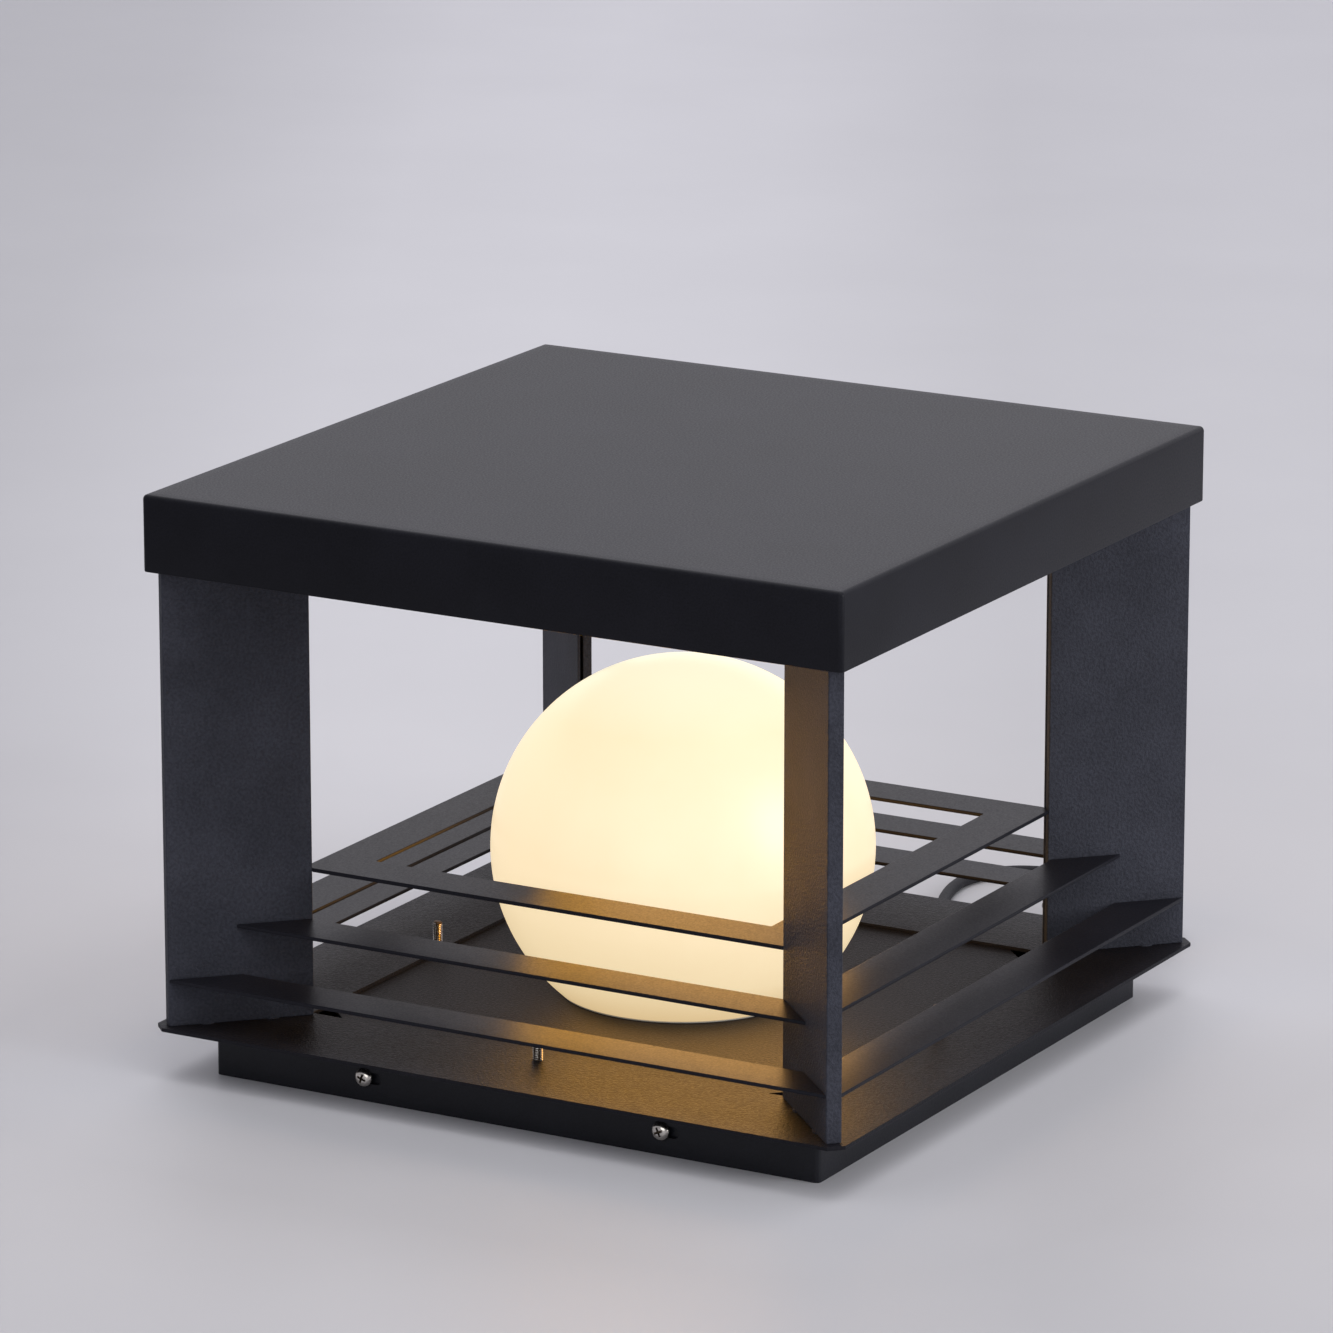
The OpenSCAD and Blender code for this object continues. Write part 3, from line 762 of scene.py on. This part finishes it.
def make_globe():
    """Blown opal globe: even wall, rounded rim at its mouth."""
    low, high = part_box("globe")
    outer = high.x
    inner = outer - GLOBE_WALL
    foot = math.degrees(math.asin((low.z + RIM_TOP - GLOBE_CENTRE_Z) / outer))
    inner_foot = math.degrees(math.asin((low.z + RIM_TOP - GLOBE_CENTRE_Z) / inner))
    profile = arc(0, GLOBE_CENTRE_Z, outer, 90, foot, 64)
    rim_out = profile[-1][0]
    rim_in = inner * math.cos(math.radians(inner_foot))
    profile += [(rim_out - 0.5 * MM, low.z + 0.12 * MM), (rim_out - 1.1 * MM, low.z),
                (rim_in + 1.1 * MM, low.z), (rim_in + 0.4 * MM, low.z + 0.15 * MM)]
    profile += arc(0, GLOBE_CENTRE_Z, inner, inner_foot, 90, 48)
    globe = turned("opal_globe", profile, 128, [OPAL_GLASS], "globe")
    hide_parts("globe")
    globe.visible_shadow = False
    globe.visible_glossy = False


def make_gasket():
    """Rubber ring with a rounded outer edge under the globe."""
    low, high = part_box("globe_gasket")
    mid = (low.z + high.z) / 2
    round_r = (high.z - low.z) / 2
    profile = [(GASKET_R, low.z), (high.x - round_r, low.z)]
    profile += arc(high.x - round_r, mid, round_r, -70, 70, 6)
    profile += [(high.x - round_r, high.z), (GASKET_R, high.z)]
    gasket = turned("gasket_ring", profile, 96, [GASKET_RUBBER], "cage", loop=True)
    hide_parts("globe_gasket")


make_globe()
make_gasket()
dress("globe_collar", COLLAR_PLASTIC, 0.2 * MM)
dress("gallery", ZINC, 0.2 * MM)
dress("gallery_rivets", ZINC, 0.15 * MM)

# ---------------------------------------------------------------- lamp

CAP_PITCH = 3.6 * MM
CAP_THREAD_DEPTH = 1.1 * MM
CAP_RINGS = 72
CAP_SIDES = 40
DOME_R = 22.5 * MM


def make_cap():
    """Screw cap with its rolled thread, which fades out at both ends."""
    low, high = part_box("bulb_cap")
    rings = []
    for i in range(CAP_RINGS + 1):
        z = low.z + (high.z - low.z) * i / CAP_RINGS
        fade = step_up((z - low.z) / (3 * MM)) * step_up((high.z - z) / (4 * MM))
        ring = []
        for k in range(CAP_SIDES):
            wave = 0.5 + 0.5 * math.cos(2 * math.pi * (z / CAP_PITCH - k / CAP_SIDES))
            r = high.x - CAP_THREAD_DEPTH * (1 - wave * fade)
            angle = 2 * math.pi * k / CAP_SIDES
            ring.append(Vector((r * math.cos(angle), r * math.sin(angle), z)))
        rings.append(ring)
    verts, faces = loft(rings)
    cap = make_object("bulb_screw_cap", verts, faces, [NICKEL], "bulb")
    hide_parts("bulb_cap")


def neck_fins(angle):
    """Scale of the neck's radius round its 24 fins."""
    return 1.0 - 0.03 * (0.5 + 0.5 * math.cos(24 * angle))


def make_neck():
    """Finned neck that takes the heat away."""
    low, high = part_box("bulb_neck")
    span = high.z - low.z
    profile = [(0, low.z), (13.4 * MM, low.z), (14 * MM, low.z + 0.6 * MM),
               (15.5 * MM, low.z + 0.2 * span), (17.3 * MM, low.z + 0.6 * span),
               (18.6 * MM, high.z - 1 * MM), (18.9 * MM, high.z - 0.3 * MM),
               (18.7 * MM, high.z), (0, high.z)]
    neck = turned("bulb_finned_neck", profile, 144, [BULB_PLASTIC], "bulb", wave=neck_fins)
    sharp_shading(neck, 50)
    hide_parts("bulb_neck")


def make_diffuser():
    """Opal dome over the neck."""
    low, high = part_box("bulb_diffuser")
    centre = high.z - DOME_R
    start = math.degrees(math.asin((low.z - centre) / DOME_R))
    profile = [(0, low.z)] + arc(0, centre, DOME_R, start, 90, 28)
    dome = turned("bulb_opal_dome", profile, 64, [BULB_GLOW], "bulb")
    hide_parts("bulb_diffuser")


make_cap()
make_neck()
make_diffuser()
dress("bulb_contact", INSULATOR, 0.2 * MM)
dress("lamp_holder", CERAMIC, 0.6 * MM, 3)
dress("holder_shell", BRASS, 0.1 * MM)
dress("holder_contact", BRASS, 0.25 * MM)
dress("holder_bracket", ZINC, 0.3 * MM)

# ---------------------------------------------------------------- wiring and gland

LEAD_R = 1.1 * MM
GRIP_R = 5.5 * MM
GRIP_LENGTH = 7 * MM


def make_leads():
    """Sleeved leads under the carrier plate, smooth where the CAD tubes are faceted."""
    for s, name in ((-1, "a"), (1, "b")):
        route = [(5 * s, 0, 26), (5 * s, 0, 20), (5 * s, 1, 15), (6 * s + 3, 12, 12),
                 (5 * s + 14, 32, 11), (5 * s + 22, 46, 10), (5 * s + 24.7, 55, 10), (5 * s + 25, 60.9, 10)]
        path = [MM * p for p in smooth_path(route, 4)]
        lead = tube_curve(f"holder_lead_{name}", path, LEAD_R, LEAD_SLEEVE, "cage")
        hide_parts("holder_leads")
    route = [(-35.4, 70, 17.4), (-28, 73, 15), (-16, 79, 11.5), (-3, 78, 10), (5, 72, 10),
             (10, 70.2, 10), (14.9, 70, 10)]
    path = [MM * p for p in smooth_path(route, 4)]
    lead = tube_curve("earth_wire", path, LEAD_R, EARTH_SLEEVE, "cage")
    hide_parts("earth_lead")


def grip_flutes(angle):
    """Scale of the dome nut's radius round its 14 flutes."""
    return 1.0 - 0.035 * (0.5 + 0.5 * math.cos(14 * angle)) ** 2


def make_gland_dome():
    """Fluted dome nut that grips the cable."""
    low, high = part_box("gland_dome")
    centre = Vector(((low.x + high.x) / 2, low.y, (low.z + high.z) / 2))
    length = high.y - low.y
    profile = [(2.5, 0), (6.1, 0), (6.4, 0.3), (6.4, 5.6), (6.2, 6.4), (5.5, 8.8), (4.6, 10.6),
               (4.0, length / MM - 0.3), (3.6, length / MM), (2.5, length / MM)]
    place = Matrix.Translation(centre) @ Matrix.Rotation(math.radians(-90), 4, "X")
    dome = turned("gland_dome_nut", [(r * MM, z * MM) for r, z in profile], 112, [GLAND_PLASTIC],
                  "cage", place, loop=True)
    for v in dome.data.vertices:
        local = place.inverted() @ v.co
        if math.hypot(local.x, local.y) > GRIP_R and local.z < GRIP_LENGTH:
            scale = grip_flutes(math.atan2(local.y, local.x))
            v.co = place @ Vector((local.x * scale, local.y * scale, local.z))
    sharp_shading(dome, 40)
    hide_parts("gland_dome")


make_leads()
make_gland_dome()
dress("cable_gland", GLAND_PLASTIC, 0.25 * MM)
dress("gland_locknut", GLAND_PLASTIC, 0.25 * MM)
dress("inner_cable", CABLE_SHEATH)
dress("terminal_block", BLOCK_PLASTIC, 0.4 * MM)

# ---------------------------------------------------------------- floor and light

FLOOR_HALF = 9.0
FLOOR_Z = -0.0001
TOWARD_BACK = (-0.46, 0.887, 0.0)
TOWARD_RIGHT = (0.887, 0.46, 0.0)
# painted light and shade over the floor: darker at the front, lighter at the back
DEPTH_PAINTED_LIGHT = [(0.0, 0.71), (0.14, 0.76), (0.35, 0.90), (1.0, 1.16)]
# painted light and shade across the floor: darkest at the left
ACROSS_PAINTED_LIGHT = [(0.0, 0.60), (0.36, 0.79), (0.48, 0.98), (0.56, 1.01), (0.64, 0.98),
                 (0.74, 0.865), (0.84, 0.90), (1.0, 0.90)]
# painted light lifting the shadow round the lantern's foot
RING_PAINTED_LIGHT = [(0.0, 1.62), (0.04, 1.44), (0.12, 1.28), (0.35, 1.10), (1.0, 1.0)]
RING_FROM, RING_TO = 0.132, 0.45
SKY_BRIGHT_SIDE = (-0.10, 0.84, 0.45)
SKY_COLOURS = [(0.0, (0.35, 0.35, 0.38)), (0.5, (0.43, 0.43, 0.46)),
               (0.8, (0.62, 0.62, 0.66)), (1.0, (1.02, 1.0, 1.07))]
LAMP_POWER = 1.08
LAMP_COLOUR = (1.0, 0.455, 0.018)
# name, place, target, size, power
AREA_LIGHTS = [
    ("top_soft", (-0.1, 0.4, 2.4), (0, 0, 0), (2.4, 2.4), 17),
    ("front_soft", (0.5, -0.8, 2.2), (0, 0, 0), (2.0, 2.0), 14),
    ("right_soft", (2.2, 0.0, 0.75), (0, 0, 0.1), (1.2, 1.2), 26),
    ("front_low", (0.5, -2.0, 0.45), (0, -0.1, 0), (1.4, 0.7), 5)]


def add_levels(nodes, links, source, levels):
    """A grey ramp over the source; levels are (place, brightness)."""
    return add_colours(nodes, links, source, [(place, (level, level, level)) for place, level in levels])


def painted_floor_light(nodes, links, direction, near, far, levels):
    """Painted light and shade on the floor: its brightness along one direction in the floor's own space."""
    place = nodes.new("ShaderNodeTexCoord")
    toward = nodes.new("ShaderNodeVectorMath")
    toward.operation = "DOT_PRODUCT"
    toward.inputs[1].default_value = direction
    links.new(place.outputs["Object"], toward.inputs[0])
    shade = add_range(nodes, links, toward.outputs["Value"], 0.0, 1.0, near, far)
    return add_levels(nodes, links, shade, levels)


def add_math(nodes, links, operation, first, second):
    """A maths node; second is a number or another node's output."""
    node = nodes.new("ShaderNodeMath")
    node.operation = operation
    links.new(first, node.inputs[0])
    if isinstance(second, float):
        node.inputs[1].default_value = second
    else:
        links.new(second, node.inputs[1])
    return node.outputs["Value"]


def painted_light_ring(nodes, links):
    """Painted light that lifts the lantern's shadow: the floor is a little lighter close around the
    lantern's foot, in a square with round corners.
    """
    place = nodes.new("ShaderNodeTexCoord")
    split = nodes.new("ShaderNodeSeparateXYZ")
    links.new(place.outputs["Object"], split.inputs["Vector"])
    across, along = [add_math(nodes, links, "POWER", split.outputs[axis], 4.0) for axis in ("X", "Y")]
    away = add_math(nodes, links, "POWER", add_math(nodes, links, "ADD", across, along), 0.25)
    shade = add_range(nodes, links, away, 0.0, 1.0, RING_FROM, RING_TO)
    return add_levels(nodes, links, shade, RING_PAINTED_LIGHT)


def make_floor():
    """Pale matt sweep with painted light and shade: a little lighter at the back than at the front and
    left, and lighter close round the lantern's foot.
    """
    material, nodes, links, shader = new_material("floor")
    cloud = add_noise(nodes, links, 6.0, 3.0)
    tone = add_colours(nodes, links, cloud, [(0.3, (0.63, 0.625, 0.655)), (0.7, (0.65, 0.645, 0.675))])
    depth = painted_floor_light(nodes, links, TOWARD_BACK, -0.4, 2.4, DEPTH_PAINTED_LIGHT)
    across = painted_floor_light(nodes, links, TOWARD_RIGHT, -0.9, 0.5, ACROSS_PAINTED_LIGHT)
    tone = multiply_colours(nodes, links, tone, depth)
    tone = multiply_colours(nodes, links, tone, painted_light_ring(nodes, links))
    links.new(multiply_colours(nodes, links, tone, across), shader.inputs["Base Color"])
    shader.inputs["Roughness"].default_value = 0.5
    shader.inputs["Specular IOR Level"].default_value = 0.12
    corners = ((-1, -1), (1, -1), (1, 1), (-1, 1))
    verts = [(x * FLOOR_HALF, y * FLOOR_HALF, FLOOR_Z) for x, y in corners]
    floor = make_object("floor", verts, [(0, 1, 2, 3)], [material], None, smooth=False)


def make_world():
    """Pale studio surround, brightest behind and above the lantern."""
    world = bpy.data.worlds.new("studio")
    bpy.context.scene.world = world
    world.use_nodes = True
    nodes, links = world.node_tree.nodes, world.node_tree.links
    place = nodes.new("ShaderNodeTexCoord")
    toward = nodes.new("ShaderNodeVectorMath")
    toward.operation = "DOT_PRODUCT"
    toward.inputs[1].default_value = Vector(SKY_BRIGHT_SIDE).normalized()
    links.new(place.outputs["Generated"], toward.inputs[0])
    shade = add_range(nodes, links, toward.outputs["Value"], 0.0, 1.0, -0.8, 0.9)
    colour = add_colours(nodes, links, shade, SKY_COLOURS)
    links.new(colour, nodes["Background"].inputs["Color"])
    nodes["Background"].inputs["Strength"].default_value = 1.0


def area_light(name, place, target, size, power):
    """A white rectangle of light aimed at the target; power in watts."""
    data = bpy.data.lights.new(name, "AREA")
    data.shape = "RECTANGLE"
    data.size, data.size_y = size
    data.energy = power
    light = bpy.data.objects.new(name, data)
    light.location = place
    light.rotation_euler = (Vector(target) - Vector(place)).to_track_quat("-Z", "Y").to_euler()
    light.visible_camera = False
    bpy.context.scene.collection.objects.link(light)


def clear_reflections():
    """The coats' gloss doesn't show what is inside the opal glass, any more than the glass does."""
    bpy.context.view_layer.update()
    centre = Vector((0.0, 0.0, GLOBE_CENTRE_Z))
    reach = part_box("globe")[1].x
    for obj in bpy.data.objects:
        if obj.type == "MESH":
            corners = [obj.matrix_world @ Vector(corner) for corner in obj.bound_box]
            if all((corner - centre).length < reach for corner in corners):
                obj.visible_glossy = False


def make_glow():
    """The lamp's light on the cage, from a ball as big as the globe; the glass itself isn't lit by it."""
    data = bpy.data.lights.new("lamp_glow", "POINT")
    data.energy = LAMP_POWER
    data.color = LAMP_COLOUR
    data.shadow_soft_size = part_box("globe")[1].x
    light = bpy.data.objects.new("lamp_glow", data)
    light.location = (0.0, 0.0, GLOBE_CENTRE_Z)
    light.visible_camera = False
    bpy.context.scene.collection.objects.link(light)
    unlit = bpy.data.collections.new("glow_receivers")
    unlit.objects.link(bpy.data.objects["opal_globe"])
    light.light_linking.receiver_collection = unlit
    unlit.collection_objects[0].light_linking.link_state = "EXCLUDE"


make_floor()
make_world()
clear_reflections()
make_glow()
for light in AREA_LIGHTS:
    area_light(*light)
bpy.context.scene.view_settings.view_transform = "Standard"
